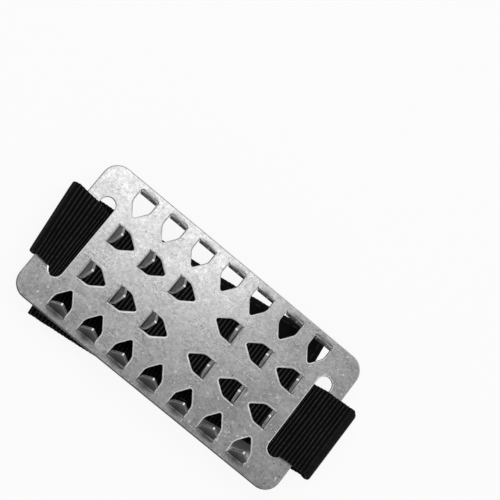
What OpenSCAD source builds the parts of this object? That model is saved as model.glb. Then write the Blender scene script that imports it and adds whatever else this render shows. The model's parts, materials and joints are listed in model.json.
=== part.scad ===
// Slip-on ice cleat: a punched steel plate with upturned teeth, carried on one webbing strap.
// It lies teeth up on its folded strap tails. Z = 0 is the surface it lies on, and the
// origin is under the middle of the plate. X runs along the plate, Y across it.

/* [Plate] */
// Length of the plate, along X
plate_l = 101.6; // [96:0.1:112]
// Width of the plate, along Y
plate_w = 50.8; // [50:0.1:58]
// Thickness of the steel sheet
plate_t = 0.8; // [0.7:0.05:1.4]
// Radius of the plate's corners
corner_r = 5.5; // [3:0.1:8]

/* [Strap slots] */
// Length of a slot, end to end
slot_l = 30.2; // [29:0.1:32]
// Width of a slot
slot_w = 5.1; // [4.6:0.1:6]
// From the plate's end to the middle of the slot
slot_edge = 7.4; // [6:0.1:8]

/* [Teeth] */
// Width of a tooth
tooth_w = 6.2; // [5:0.1:7]
// From a tooth's bend to the point of the hole it was punched from
punch_l = 8.5; // [8:0.1:9.5]
// Length of the tapered tip, before its point is rounded
tip_l = 4.5; // [3.5:0.1:5]
// Radius of the rounded point
tip_r = 0.7; // [0.4:0.05:1]
// Radius where a tooth's sides turn in to its tip
shoulder_r = 3; // [1:0.5:8]
// Inside radius of the bend at a tooth's foot
bend_r = 0.8; // [0.5:0.1:1.4]
// Lean of the side teeth from upright, towards their holes
side_lean = 12; // [5:1:25]
// Lean of the middle teeth
mid_lean = 12; // [5:1:25]
// Gap that the punch leaves round a tooth
kerf = 0.15; // [0.05:0.05:0.3]

/* [Tooth rows] */
// Teeth in each of the two rows along the long edges
side_count = 7; // [5:1:7]
// Spacing of those teeth
side_pitch = 11.7; // [10.5:0.1:12]
// From the plate's long edge to the bend of those teeth
side_edge = 2.2; // [1.2:0.1:2.5]
// Teeth in each half of the two middle rows
mid_count = 3; // [1:1:3]
// Spacing of the middle teeth
mid_pitch = 12.1; // [11.5:0.1:12.2]
// From the plate's middle to the point of the first middle hole
mid_first = 4.4; // [2:0.1:4.5]
// From the plate's centre line to each middle row
mid_row_y = 7; // [5:0.1:8]

/* [Strap] */
// Width of the webbing
strap_w = 24.8; // [22:0.1:26]
// Thickness of the webbing
strap_t = 1.6; // [1.2:0.05:1.9]
// From the front end of a slot to the strap's edge
strap_seat = 1.2; // [1.2:0.1:2.4]
// Gap between the strap and the plate
plate_gap = 0.15; // [0.1:0.05:0.4]
// Gap between folded layers
lay_gap = 0.3; // [0.25:0.05:0.6]
// Gap between two lengths of the strap that turn on each other
fold_gap = 0.2; // [0.1:0.05:0.4]

/* [Right tail] */
// How far the right fold stands out past the plate's end
right_reach = 7.2; // [6:0.1:12]
// Height of the upright stretch in the right fold
right_flat = 0.4; // [0.2:0.1:2]
// Sideways place of the right fold
right_y = -0.7; // [-2:0.1:1]
// Turn of the right tail in plan
right_turn = 7.8; // [4:0.1:9]
// Length of the right tail from its fold
right_l = 97.5; // [85:0.5:110]
// From the fold to the line where the tail bends
right_bend = 24; // [18:0.5:52]

/* [Left tail] */
// Gap between the plate's end and the left fold, where they are nearest
left_slack = 0.55; // [0.4:0.05:4]
// Height of the upright stretch in the left fold
left_flat = 2.4; // [1.6:0.1:3]
// Sideways place of the left fold
left_y = -0.4; // [-2:0.1:1]
// Turn of the left fold and tail in plan
left_turn = 7.2; // [4:0.1:9]
// Length of the left tail from its fold
left_l = 91; // [75:0.5:94]

/* [Hook and loop tapes] */
// Thickness of each tape
tape_t = 1; // [0.7:0.05:1.4]
// How far a tape stays inside the strap's edges and end
tape_inset = 0.3; // [0.1:0.05:1]
// Length of the hook tape on the left tail
hook_l = 52; // [35:0.5:60]
// From the right fold to the start of the loop tape
loop_start = 6; // [3:0.5:12]

/* [Stitching] */
// Length of one stitch
stitch_l = 2.4; // [1.8:0.1:3]
// Spacing of the stitches
stitch_pitch = 3.4; // [3.2:0.1:5]
// Width of the thread
stitch_w = 0.5; // [0.3:0.05:0.7]
// How far the thread stands proud
stitch_h = 0.15; // [0.08:0.01:0.18]
// From a tape's edge to its line of stitches
stitch_inset = 1.6; // [1:0.1:2.4]

/* [Hidden] */
$fn = 48;
// Steps in the small curves of an outline
arc_steps = 6;
// Steps in the strap's curve through a slot
pass_steps = 12;
// Longer than anything that it cuts
far = 200;

// Heights of the layers, from the surface up
right_z = tape_t;
left_z = right_z + strap_t + lay_gap;
hook_z = left_z + strap_t;
run_z = hook_z + tape_t + lay_gap;
plate_z = run_z + strap_t + plate_gap;
over_z = plate_z + plate_t + plate_gap;
over_top = over_z + strap_t;

// The strap's place in the slots
slot_x = plate_l / 2 - slot_edge;
strap_y = strap_seat + strap_w / 2 - slot_l / 2;

// Outer radius of each fold's two rounds, above and below its upright stretch
right_r = (over_top - right_z - right_flat) / 2;
left_r = (over_top - left_z - left_flat) / 2;

// Where the middle of each fold's rounds lies
right_x = plate_l / 2 + right_reach - right_r;
left_x = -plate_l / 2 - left_slack - strap_t + left_r - strap_w / 2 * sin(left_turn);

// A fold is [side, middle, turn of its axis, turn of the strap from the fold, radius, upright stretch]
right_fold = [1, [right_x, right_y, (right_z + over_top) / 2], 0, right_turn, right_r, right_flat];
left_fold = [-1, [left_x, left_y, (left_z + over_top) / 2], left_turn, 0, left_r, left_flat];

// Where a fold turns, in degrees round it from its top
upper_turn = 30;
side_turn = 90;
lower_turn = 150;
under = 180;

black = [0.09, 0.09, 0.09];
tape_black = [0.14, 0.14, 0.14];
thread_black = [0.2, 0.2, 0.2];

// Points on an arc, with the angle counted from the second axis towards the first
function arc(centre, r, from, to) = [
    for (i = [0 : arc_steps])
        let (a = from + (to - from) * i / arc_steps)
        centre + r * [sin(a), cos(a)]
];

// Outline of a punched tab: its foot at 0, parallel sides, round shoulders and a rounded point at l
function shield(w, l) =
    let (half_tip = atan(w / 2 / tip_l))
    let (sharp_l = l - tip_r + tip_r / sin(half_tip))
    let (shoulder = [sharp_l - tip_l - shoulder_r * tan(half_tip / 2), w / 2 - shoulder_r])
    concat(
        [[0, w / 2]],
        arc(shoulder, shoulder_r, 0, half_tip),
        arc([l - tip_r, 0], tip_r, half_tip, 180 - half_tip),
        arc([shoulder[0], -shoulder[1]], shoulder_r, 180 - half_tip, 180),
        [[0, -w / 2]]
    );

// Outline of a band of thickness t that follows a line of points
function ribbon(line, t) =
    let (last = len(line) - 1)
    let (side = [
        for (i = [0 : last])
            let (along = line[min(i + 1, last)] - line[max(i - 1, 0)])
            [-along[1], along[0]] / norm(along) * t / 2
    ])
    concat(
        [for (i = [0 : last]) line[i] + side[i]],
        [for (i = [last : -1 : 0]) line[i] - side[i]]
    );

// A point in plan, turned about the origin
function turned(p, a) = [p[0] * cos(a) - p[1] * sin(a), p[0] * sin(a) + p[1] * cos(a)];

// One edge of the strap, where the fold begins: side is 1 at the back and -1 at the front
function fold_edge(fold, side) =
    [fold[1][0], fold[1][1]] + turned([0, side * strap_w / 2 / cos(fold[3])], fold[2]);

// The sheet's own shape, with its strap slots
module plate_outline() {
    difference() {
        union() {
            square([plate_l - 2 * corner_r, plate_w], center = true);
            square([plate_l, plate_w - 2 * corner_r], center = true);
            for (x = [-1, 1], y = [-1, 1])
                translate([x * (plate_l / 2 - corner_r), y * (plate_w / 2 - corner_r)])
                    circle(corner_r);
        }
        for (x = [-1, 1])
            translate([x * slot_x, 0]) {
                square([slot_w, slot_l - slot_w], center = true);
                for (y = [-1, 1])
                    translate([0, y * (slot_l - slot_w) / 2])
                        circle(slot_w / 2);
            }
    }
}

// Puts what follows at every tooth along the long edges: the bend at the origin, the hole along +X
module at_side_teeth() {
    for (side = [-1, 1], i = [0 : side_count - 1])
        translate([(i - (side_count - 1) / 2) * side_pitch, side * (plate_w / 2 - side_edge)])
            rotate(-90 * side)
                children();
}

// The same for every tooth of the middle rows
module at_mid_teeth() {
    for (row = [-1, 1], half = [0, 180], i = [0 : mid_count - 1])
        translate([0, row * mid_row_y])
            rotate(half)
                translate([-mid_first - i * mid_pitch - punch_l, 0])
                    children();
}

// The hole that a tooth was punched from
module punch() {
    translate([0, 0, -plate_t])
        linear_extrude(3 * plate_t)
            polygon(shield(tooth_w + 2 * kerf, punch_l));
}

// One tooth: the sheet curls up from its bend, runs straight, and tapers to its point
module tooth(lean) {
    bend_a = 90 - lean;
    straight = punch_l - (bend_r + plate_t / 2) * bend_a * PI / 180;
    bend_c = [0, plate_t + bend_r];
    foot = concat([[-plate_t, 0]], arc(bend_c, bend_r + plate_t, 180, 180 - bend_a));
    face = concat(arc(bend_c, bend_r, 180 - bend_a, 180), [[-plate_t, plate_t]]);
    rise = straight * [cos(bend_a), sin(bend_a)];
    intersection() {
        rotate([90, 0, 0])
            linear_extrude(tooth_w, center = true)
                polygon(concat(foot, [foot[len(foot) - 1] + rise, face[0] + rise], face));
        translate([0, 0, plate_t + bend_r])
            rotate([0, -bend_a, 0])
                translate([-punch_l, 0, -bend_r - 2 * plate_t])
                    linear_extrude(3 * plate_t)
                        polygon(shield(tooth_w, punch_l + straight));
    }
}

module cleat_plate() {
    color("silver")
        translate([0, 0, plate_z])
            union() {
                difference() {
                    linear_extrude(plate_t)
                        plate_outline();
                    at_side_teeth()
                        punch();
                    at_mid_teeth()
                        punch();
                }
                at_side_teeth()
                    tooth(side_lean);
                at_mid_teeth()
                    tooth(mid_lean);
            }
}

// Moves what follows into a fold's own frame: its axis is Y, and X points outward on the right
module in_fold(fold) {
    translate(fold[1])
        rotate(fold[2])
            children();
}

// A part of the strap's fold: the band between an outer and an inner line, cut to the strap's width
module fold_band(fold, outer, inner) {
    in_fold(fold)
        intersection() {
            rotate([90, 0, 0])
                linear_extrude(far, center = true)
                    polygon(concat(outer, inner));
            rotate(fold[3])
                cube([far, strap_w, far], center = true);
        }
}

// A part of one round of a fold, between two angles from its top: level is 1 above and -1 below
module fold_arc(fold, level, from, to) {
    side = fold[0];
    centre = [0, level * fold[5] / 2];
    fold_band(
        fold,
        arc(centre, fold[4], side * from, side * to),
        arc(centre, fold[4] - strap_t, side * to, side * from)
    );
}

// Half of a fold between its turning lines: the rest of one round, and half of the upright stretch
module fold_half(fold, level) {
    side = fold[0];
    centre = [0, level * fold[5] / 2];
    from = level > 0 ? upper_turn + gap_turn(fold) : lower_turn - gap_turn(fold);
    middle = level * fold_gap / 2;
    color(black)
        fold_band(
            fold,
            concat(arc(centre, fold[4], side * from, side * side_turn), [[side * fold[4], middle]]),
            concat(
                [[side * (fold[4] - strap_t), middle]],
                arc(centre, fold[4] - strap_t, side * side_turn, side * from)
            )
        );
}

// Half of the gap at a fold line, as an angle round the fold
function gap_turn(fold) = fold_gap / 2 / fold[4] * 180 / PI;

// A flat length of a tail, between two distances from its fold, with its own height and inset
module tail_length(fold, from, to, z, h, inset) {
    translate([fold[1][0], fold[1][1], z])
        rotate(fold[2] + fold[3])
            translate([-fold[0] * (from + to) / 2, 0, h / 2])
                cube([to - from, strap_w - 2 * inset, h], center = true);
}

// The tail's start: the end of the round fold, and the flat length up to a distance from it
module tail_start(fold, to, z) {
    fold_arc(fold, -1, lower_turn + gap_turn(fold), under);
    intersection() {
        tail_length(fold, -strap_w, to, z, strap_t, 0);
        in_fold(fold)
            translate([-fold[0] * far / 2, 0, 0])
                cube(far, center = true);
    }
}

// The strap between its folds: under the plate, up through both slots and over the plate's ends
module strap_centre() {
    run_mid = run_z + strap_t / 2;
    climb = over_z - run_z;
    slot_in = slot_x - slot_w / 2;
    pass = [
        for (i = [0 : pass_steps])
            let (s = i / pass_steps)
            [slot_in + s * slot_w, run_mid + climb * (1 - cos(180 * s)) / 2]
    ];
    half = concat([[0, run_mid]], pass, [[far / 2, run_mid + climb]]);
    last = len(half) - 1;
    line = concat([for (i = [last : -1 : 1]) [-half[i][0], half[i][1]]], half);
    back_y = strap_y + strap_w / 2;
    front_y = strap_y - strap_w / 2;
    color(black) {
        intersection() {
            rotate([90, 0, 0])
                linear_extrude(far, center = true)
                    polygon(ribbon(line, strap_t));
            linear_extrude(far)
                polygon([
                    fold_edge(right_fold, 1), [slot_in, back_y], [-slot_in, back_y], fold_edge(left_fold, 1),
                    fold_edge(left_fold, -1), [-slot_in, front_y], [slot_in, front_y], fold_edge(right_fold, -1)
                ]);
        }
        for (fold = [right_fold, left_fold])
            fold_arc(fold, 1, 0, upper_turn - gap_turn(fold));
    }
}

module right_fold_upper() {
    fold_half(right_fold, 1);
}

module right_fold_lower() {
    fold_half(right_fold, -1);
}

module left_fold_upper() {
    fold_half(left_fold, 1);
}

module left_fold_lower() {
    fold_half(left_fold, -1);
}

module right_tail_root() {
    color(black)
        tail_start(right_fold, right_bend - fold_gap / 2, right_z);
}

module right_tail_end() {
    color(black)
        tail_length(right_fold, right_bend + fold_gap / 2, right_l, right_z, strap_t, 0);
}

module left_tail() {
    color(black)
        tail_start(left_fold, left_l, left_z);
}

// The loop tape is sewn under the right tail, and is cut where the tail bends
loop_end = right_l - tape_inset;
bend_near = right_bend - fold_gap / 2;
bend_far = right_bend + fold_gap / 2;

module loop_tape_root() {
    color(tape_black)
        tail_length(right_fold, loop_start, bend_near, right_z - tape_t, tape_t, tape_inset);
}

module loop_tape_end() {
    color(tape_black)
        tail_length(right_fold, bend_far, loop_end, right_z - tape_t, tape_t, tape_inset);
}

// The hook tape is sewn on top of the left tail, at its end
hook_end = left_l - tape_inset;
hook_start = hook_end - hook_l;

module hook_tape() {
    color(tape_black)
        tail_length(left_fold, hook_start, hook_end, hook_z, tape_t, tape_inset);
}

// Stitches along both long edges of a tape, and across the ends that are asked for
module stitches(fold, from, to, z, ends) {
    reach = to - from - 2 * stitch_inset;
    across = strap_w - 2 * tape_inset - 2 * stitch_inset;
    along_n = floor((reach - stitch_l) / stitch_pitch);
    across_n = floor((across - 2 * stitch_w - stitch_l) / stitch_pitch);
    translate([fold[1][0], fold[1][1], z + stitch_h / 2])
        rotate(fold[2] + fold[3])
            translate([-fold[0] * (from + to) / 2, 0, 0]) {
                for (side = [-1, 1], i = [0 : along_n])
                    translate([(i - along_n / 2) * stitch_pitch, side * across / 2, 0])
                        cube([stitch_l, stitch_w, stitch_h], center = true);
                for (end = ends, i = [0 : across_n])
                    translate([-fold[0] * end * reach / 2, (i - across_n / 2) * stitch_pitch, 0])
                        cube([stitch_w, stitch_l, stitch_h], center = true);
            }
}

module loop_stitches_root() {
    color(thread_black)
        stitches(right_fold, loop_start, bend_near, right_z + strap_t, [-1]);
}

module loop_stitches_end() {
    color(thread_black)
        stitches(right_fold, bend_far, loop_end, right_z + strap_t, [1]);
}

module hook_stitches() {
    color(thread_black)
        stitches(left_fold, hook_start, hook_end, hook_z + tape_t, [-1, 1]);
}

cleat_plate();
strap_centre();
right_fold_upper();
right_fold_lower();
right_tail_root();
loop_tape_root();
loop_stitches_root();
right_tail_end();
loop_tape_end();
loop_stitches_end();
left_fold_upper();
left_fold_lower();
left_tail();
hook_tape();
hook_stitches();
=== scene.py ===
"""Dresses the packed ice cleat: the punched plate, its ribbed strap, the sewn tapes and their thread."""
import collections
import json
import math

import bmesh
import bpy
from mathutils import Matrix, Vector, noise
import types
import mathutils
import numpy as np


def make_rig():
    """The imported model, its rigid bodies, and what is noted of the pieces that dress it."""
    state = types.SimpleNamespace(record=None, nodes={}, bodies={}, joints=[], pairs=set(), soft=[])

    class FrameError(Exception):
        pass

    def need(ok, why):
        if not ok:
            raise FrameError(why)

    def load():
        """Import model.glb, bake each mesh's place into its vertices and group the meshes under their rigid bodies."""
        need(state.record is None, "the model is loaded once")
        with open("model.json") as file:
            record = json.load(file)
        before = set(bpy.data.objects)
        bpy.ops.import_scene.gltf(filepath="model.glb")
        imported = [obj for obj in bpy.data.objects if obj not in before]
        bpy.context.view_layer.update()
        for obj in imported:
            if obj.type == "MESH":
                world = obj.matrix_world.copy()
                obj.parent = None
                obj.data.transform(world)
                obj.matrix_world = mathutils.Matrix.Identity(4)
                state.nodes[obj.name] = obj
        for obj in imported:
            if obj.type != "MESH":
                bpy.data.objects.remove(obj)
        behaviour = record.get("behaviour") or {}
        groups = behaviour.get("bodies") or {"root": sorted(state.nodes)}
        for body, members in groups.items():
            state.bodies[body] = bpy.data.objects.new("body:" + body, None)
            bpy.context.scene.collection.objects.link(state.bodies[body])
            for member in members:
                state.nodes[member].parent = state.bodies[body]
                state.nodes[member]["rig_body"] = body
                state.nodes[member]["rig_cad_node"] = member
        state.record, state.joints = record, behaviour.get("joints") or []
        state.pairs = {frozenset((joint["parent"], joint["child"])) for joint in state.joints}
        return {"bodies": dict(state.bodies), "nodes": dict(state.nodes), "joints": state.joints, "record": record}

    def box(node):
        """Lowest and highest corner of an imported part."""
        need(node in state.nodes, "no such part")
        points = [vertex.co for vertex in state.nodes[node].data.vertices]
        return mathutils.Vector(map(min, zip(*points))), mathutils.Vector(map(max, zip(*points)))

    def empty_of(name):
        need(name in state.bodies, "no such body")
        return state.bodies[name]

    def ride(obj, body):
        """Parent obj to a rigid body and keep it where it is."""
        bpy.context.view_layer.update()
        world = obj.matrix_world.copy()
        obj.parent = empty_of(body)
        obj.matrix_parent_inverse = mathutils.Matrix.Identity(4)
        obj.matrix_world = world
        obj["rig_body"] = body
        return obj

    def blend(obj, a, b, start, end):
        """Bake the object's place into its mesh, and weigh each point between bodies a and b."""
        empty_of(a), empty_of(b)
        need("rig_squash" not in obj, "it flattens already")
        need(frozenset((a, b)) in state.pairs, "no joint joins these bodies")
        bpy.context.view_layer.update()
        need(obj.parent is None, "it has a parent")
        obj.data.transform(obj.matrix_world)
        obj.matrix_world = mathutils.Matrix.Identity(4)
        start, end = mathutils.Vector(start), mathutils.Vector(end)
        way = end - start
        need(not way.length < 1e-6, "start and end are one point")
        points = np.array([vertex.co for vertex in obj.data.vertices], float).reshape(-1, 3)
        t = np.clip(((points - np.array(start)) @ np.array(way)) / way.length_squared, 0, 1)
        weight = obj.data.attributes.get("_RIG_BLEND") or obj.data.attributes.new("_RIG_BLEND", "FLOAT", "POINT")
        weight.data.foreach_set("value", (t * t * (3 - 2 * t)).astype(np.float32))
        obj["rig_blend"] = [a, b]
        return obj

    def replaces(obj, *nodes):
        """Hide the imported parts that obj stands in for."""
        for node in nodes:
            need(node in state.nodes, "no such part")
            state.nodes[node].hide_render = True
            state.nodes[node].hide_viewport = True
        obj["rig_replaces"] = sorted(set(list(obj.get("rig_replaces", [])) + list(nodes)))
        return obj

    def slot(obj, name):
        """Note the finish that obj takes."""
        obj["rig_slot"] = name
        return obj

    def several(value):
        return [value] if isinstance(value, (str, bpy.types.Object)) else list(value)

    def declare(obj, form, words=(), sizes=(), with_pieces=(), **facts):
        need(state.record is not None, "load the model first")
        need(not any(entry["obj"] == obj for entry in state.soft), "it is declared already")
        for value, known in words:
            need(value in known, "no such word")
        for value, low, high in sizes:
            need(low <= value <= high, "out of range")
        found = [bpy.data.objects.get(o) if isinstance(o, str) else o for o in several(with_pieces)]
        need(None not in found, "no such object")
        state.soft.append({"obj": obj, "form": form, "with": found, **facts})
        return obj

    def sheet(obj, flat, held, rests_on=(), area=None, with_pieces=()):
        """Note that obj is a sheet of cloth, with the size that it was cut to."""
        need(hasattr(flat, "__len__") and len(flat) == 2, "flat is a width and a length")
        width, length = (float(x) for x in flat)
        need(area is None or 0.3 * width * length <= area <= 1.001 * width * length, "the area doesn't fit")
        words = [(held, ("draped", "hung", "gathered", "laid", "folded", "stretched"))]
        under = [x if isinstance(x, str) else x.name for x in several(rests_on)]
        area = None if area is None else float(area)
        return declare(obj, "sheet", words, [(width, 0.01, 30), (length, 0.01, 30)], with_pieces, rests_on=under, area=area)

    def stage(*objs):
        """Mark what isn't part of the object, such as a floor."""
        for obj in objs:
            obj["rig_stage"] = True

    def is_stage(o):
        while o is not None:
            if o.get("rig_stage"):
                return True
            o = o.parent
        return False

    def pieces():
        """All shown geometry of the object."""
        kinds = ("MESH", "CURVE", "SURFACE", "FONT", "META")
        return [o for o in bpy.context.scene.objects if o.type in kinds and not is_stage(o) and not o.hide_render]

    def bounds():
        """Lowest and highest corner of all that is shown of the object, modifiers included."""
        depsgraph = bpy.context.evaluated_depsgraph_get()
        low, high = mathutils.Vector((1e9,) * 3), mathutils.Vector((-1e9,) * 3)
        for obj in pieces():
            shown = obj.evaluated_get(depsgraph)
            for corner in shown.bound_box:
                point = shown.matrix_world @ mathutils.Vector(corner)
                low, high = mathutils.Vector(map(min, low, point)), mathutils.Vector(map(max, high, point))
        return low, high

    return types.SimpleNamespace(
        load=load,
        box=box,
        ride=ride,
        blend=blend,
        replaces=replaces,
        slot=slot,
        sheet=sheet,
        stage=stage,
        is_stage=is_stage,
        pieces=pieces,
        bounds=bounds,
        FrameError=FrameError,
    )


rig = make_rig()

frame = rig.load()
cad_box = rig.bounds()

# Sizes and places are in millimetres, in the CAD's own frame, and are scaled to metres at the end.
MM = 0.001
JOINTS = {j["name"]: j for j in frame["joints"]}


def metres(point):
    return Vector(point) * MM


def joint_point(name):
    return Vector(JOINTS[name]["pos_m"]) / MM


def node_box(name):
    low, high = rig.box(name)
    return Vector(low) / MM, Vector(high) / MM


# Plate, with its two strap slots
PLATE_LOW, PLATE_HIGH = node_box("cleat_plate")
PLATE_L = PLATE_HIGH.x - PLATE_LOW.x
PLATE_W = PLATE_HIGH.y - PLATE_LOW.y
PLATE_T = 0.8
PLATE_TOP = PLATE_LOW.z + PLATE_T
CORNER_R = 5.5
SLOT_L, SLOT_W, SLOT_EDGE = 30.2, 5.1, 7.4
SLOT_X = PLATE_L / 2 - SLOT_EDGE

# Teeth, and the holes they were punched from: their shape, then the rows along the sides and in the middle
TOOTH_W, HOLE_W = 6.2, 6.5
PUNCH_L, TIP_L, TIP_R, SHOULDER_R = 8.5, 4.5, 0.7, 3.0
BEND_R, TOOTH_LEAN = 0.8, math.radians(12)
TOOTH_BEVEL, TIP_HALF = 0.14, 0.1
SIDE_COUNT, SIDE_PITCH, SIDE_EDGE = 7, 11.7, 2.2
MID_COUNT, MID_PITCH, MID_FIRST, MID_ROW_Y = 3, 12.1, 4.4, 7.0

# Rolled rims of the plate's edge, its slots and its holes: a hole's rim fades in at the foot of its tooth
RIM_DROP, EDGE_RIM_W, SLOT_RIM_W = 0.32, 0.36, 0.36
FOOT_BLEND, FOOT_FACES = 0.35, 2

# How finely the plate is divided, and which of its edges are shaded smooth
RIM_STEPS, ARC_STEPS, SHOULDER_STEPS, TIP_STEPS, BEND_STEPS, SCOOP_STEPS = 4, 10, 5, 5, 8, 4
MERGE_GAP, SMOOTH_LIMIT = 0.002, math.radians(38)

# Painted shade on the steel, from 0, bare plating, to 1, the grey of a shaded tooth's face: that of the plate's edge,
# which is lighter where it faces the back, and of the corners of a tooth's foot, which is full at a share of its bend
EDGE_TONE, BACK_EDGE_TONE = 1.0, 0.65
CORNER_TONE, CORNER_BEND = 0.15, 0.8
# How many of the lower rows of a dark rim have that painted shade
DARK_ROWS = 2

# The plate's materials, by their place in its list: the plating, a painted highlight for rims and tips, the sheared
# edge, and a painted highlight for edges
PLAIN, HIGHLIGHT, EDGE, EDGE_HIGHLIGHT = range(4)

# The last rings of a tooth that make its tip, and the sides of its section that are its two faces
TIP_RINGS = 3
FACE_SIDES = (0, 1, 5, 6)

# A row's teeth. The painted shade at a tooth's foot reaches back by scoop, is foot_tone dark there, and is full at
# the share full_tone of the bend. rim_w is the width of the hole's rim and dark_rows how many of its rows
# have painted shade. edge and tip are the materials of the tooth's edges and of its tip, some of them painted
# highlights.
Tooth = collections.namedtuple("Tooth", "scoop foot_tone full_tone rim_w dark_rows edge tip")
FRONT_TOOTH = Tooth(scoop=1.0, foot_tone=0.75, full_tone=0.5, rim_w=0.38, dark_rows=0, edge=EDGE, tip=HIGHLIGHT)
BACK_TOOTH = FRONT_TOOTH._replace(rim_w=0.43, dark_rows=DARK_ROWS, edge=PLAIN, tip=EDGE)
MID_TOOTH = Tooth(scoop=0.1, foot_tone=0.05, full_tone=0.9, rim_w=0.56, dark_rows=0, edge=EDGE_HIGHLIGHT, tip=HIGHLIGHT)

# Strap: its section and heights, then its gap to the front end of a slot, at rest and where it fills it
STRAP_W = 24.8
CENTRE_LOW, CENTRE_HIGH = node_box("strap_centre")
RUN_LOW, OVER_TOP = CENTRE_LOW.z, CENTRE_HIGH.z
TAIL_LOW, TAIL_HIGH = node_box("right_tail_end")
RIGHT_LOW, STRAP_T = TAIL_LOW.z, TAIL_HIGH.z - TAIL_LOW.z
LEFT_LOW = node_box("left_tail")[0].z
RUN_MID, OVER_MID = RUN_LOW + STRAP_T / 2, OVER_TOP - STRAP_T / 2
STRAP_SEAT, SLOT_PLAY = 1.2, 0.15
STRAP_Y = STRAP_SEAT + STRAP_W / 2 - SLOT_L / 2

# Tails: their lengths, how far they bow and how far their ends sway, and where the right one bends
RIGHT_L, LEFT_L = 97.5, 91.0
TAIL_BOW, RIGHT_SWAY, LEFT_SWAY = 1.4, -1.2, 2.0
RIGHT_BEND, BEND_REACH = 24.0, 8.0
# The length in which a tail that leaves a skewed fold comes straight
SKEW_L = 15.0
# Brings the greatest value of t * t * (1 - t) to 1
BOW_PEAK = 27 / 4
# What the flat run has beyond each end of the plate, for its way through the slot and to the fold
RUN_EXTRA = 4.0

# Folds: how far each edge is drawn in, as a share of half the width, and how bare of ribs the turn looks
RIGHT_TUCK, LEFT_TUCK = (-0.06, 0.07), (0.0, 0.0)
RIGHT_BARE, LEFT_BARE = 1.0, 0.5
# The share of the ribs' depth that is lost where the turn is quite bare
RIB_LOSS = 0.75
# Angles from the top of a fold at which the strap is cut, and how far from a cut its bend keeps
FOLD_CUTS, CUT_MARGIN = (0, 60, 120, 180), 4

# Ribs and edges of the webbing, with the height and the size of their waves
RIB_PITCH, RIB_DEPTH, RIB_STEPS = 1.28, 0.3, 9
RIB_WAVE, RIB_WAVE_SIZE = 0.16, 7.0
EDGE_WAVE, EDGE_WAVE_SIZE, EDGE_WAVE_ROW = 0.3, 3.2, 7.3
# Points across the strap, as shares of half its width, and how thin it is at its edges
HALF_SHARES = (0.2, 0.4, 0.6, 0.8, 0.94, 0.985, 1)
LATERALS = [-v for v in reversed(HALF_SHARES)] + [0] + list(HALF_SHARES)
EDGE_THIN = {1: 0.42, 0.985: 0.78, 0.94: 0.96}

# Tapes
TAPE_T, TAPE_INSET = 1.0, 0.3
TAPE_HALF = STRAP_W / 2 - TAPE_INSET
HOOK_L, LOOP_START = 52.0, 6.0
LOOP_END, HOOK_END = RIGHT_L - TAPE_INSET, LEFT_L - TAPE_INSET
HOOK_START = HOOK_END - HOOK_L
# Loop pile: its cells, its depth, and the shares of its coarse waves and of those so many times finer
PILE_CELL, PILE_DEPTH, PILE_SIZE = 0.5, 0.42, 0.9
PILE_MEAN, PILE_COARSE, PILE_FINE, PILE_FINER = 0.5, 0.5, 0.3, 2.7
# Hooks: the woven base, their spacing, and each one's route as shares of its reach
HOOK_BASE, BASE_STEP, BASE_CELL = 0.7, 1.0, 2.0
HOOK_PITCH, HOOK_BORDER, HOOK_R, HOOK_SIDES = 1.25, 2.6, 0.11, 5
HOOK_SINK, HOOK_REACH, HOOK_CROWN, HOOK_DROP = 0.1, 0.34, 0.1, 0.08
HOOK_ROUTE = (0, 0, 0.6, 1)

# Thread: its stitches, the points along one, the share of it that lies flat, and its dip in radii
STITCH_L, STITCH_PITCH, STITCH_INSET = 2.4, 3.4, 1.6
THREAD_R, THREAD_SIDES = 0.17, 6
STITCH_SHARES = (-1, -0.8, -0.4, 0, 0.4, 0.8, 1)
STITCH_FLAT, STITCH_DIP = 0.55, 1.7
# How far the thread's middle is sunk in the webbing and raised on the hook tape
LOOP_SEAT, HOOK_RISE = 0.03, 0.05

# Colours
ZINC_LIGHT, ZINC_DARK = (0.84, 0.84, 0.845), (0.7, 0.7, 0.705)
# The first is painted shade, the grey of a shaded tooth's face, of walls and of the plate's edge; the second is the
# pale grey of wear marks
PAINTED_SHADE_GREY, MARK_GREY = (0.07, 0.07, 0.0715), (0.95, 0.95, 0.95)
# The webbing's black, and the painted highlight on its ribs' crests, lighter where the strap lies in shade under the
# plate
RIB_DARK, RIB_CREST_HIGHLIGHT, RIB_UNDER_PAINTED_LIGHT = (0.0036, 0.0036, 0.0037), (0.042, 0.042, 0.0425), (0.083, 0.083, 0.084)

# A faint ring on the plating: its middle, its radii with their strength, and the reach they are given over
RING_PLACE = (-27.8, -13.6, PLATE_TOP)
RING_STOPS = ((1.6, 0.0), (1.72, 0.6), (1.84, 0.0))
RING_SPAN = 4.0

# Floor, with a painted soft shadow under the plate's front edge that shows through the holes at its right end
FLOOR_HALF, FLOOR_DROP, FLOOR_GREY, FLOOR_WHITE = 3000, 0.05, 0.9, 0.9
SHADE_PLACE, SHADE_SIZE = (6, -15.5, 0), (47, 8.8, 1000)
SHADE_CORE, SHADE_GREY = 0.72, 0.28

# Light tent: its brightness by height, from the horizon to straight above
TENT = ((0, 0.7), (0.45, 0.9), (0.72, 0.85), (0.88, 0.28), (1, 0.2))
TENT_TILT = (-0.06, 0.08, 0)
# Lamps: place, aim, size, and power in watts
KEY_LAMP = ((-24, 94, 260), (-24, 34, 10), (137, 90), 0.058)
BACK_LAMP = ((-150, 950, 750), (0, 0, 10), (3200, 1900), 5.0)

# Camera, fitted to the plate's corners, its holes and the tips of its teeth
CAMERA_PLACE = Vector((-47.21, -75.89, 461.92))
CAMERA_AIM = Vector((-0.81, 30.21, 8.37))
CAMERA_UP = Vector((-0.6378, 0.7619, 0.113))
FOCAL_PIXELS, IMAGE_PIXELS, SENSOR, CLIP_START = 1513.0, 500, 36.0, 10


def clamp(t):
    return min(max(t, 0), 1)


def smooth(t):
    t = clamp(t)
    return t * t * (3 - 2 * t)


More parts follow.
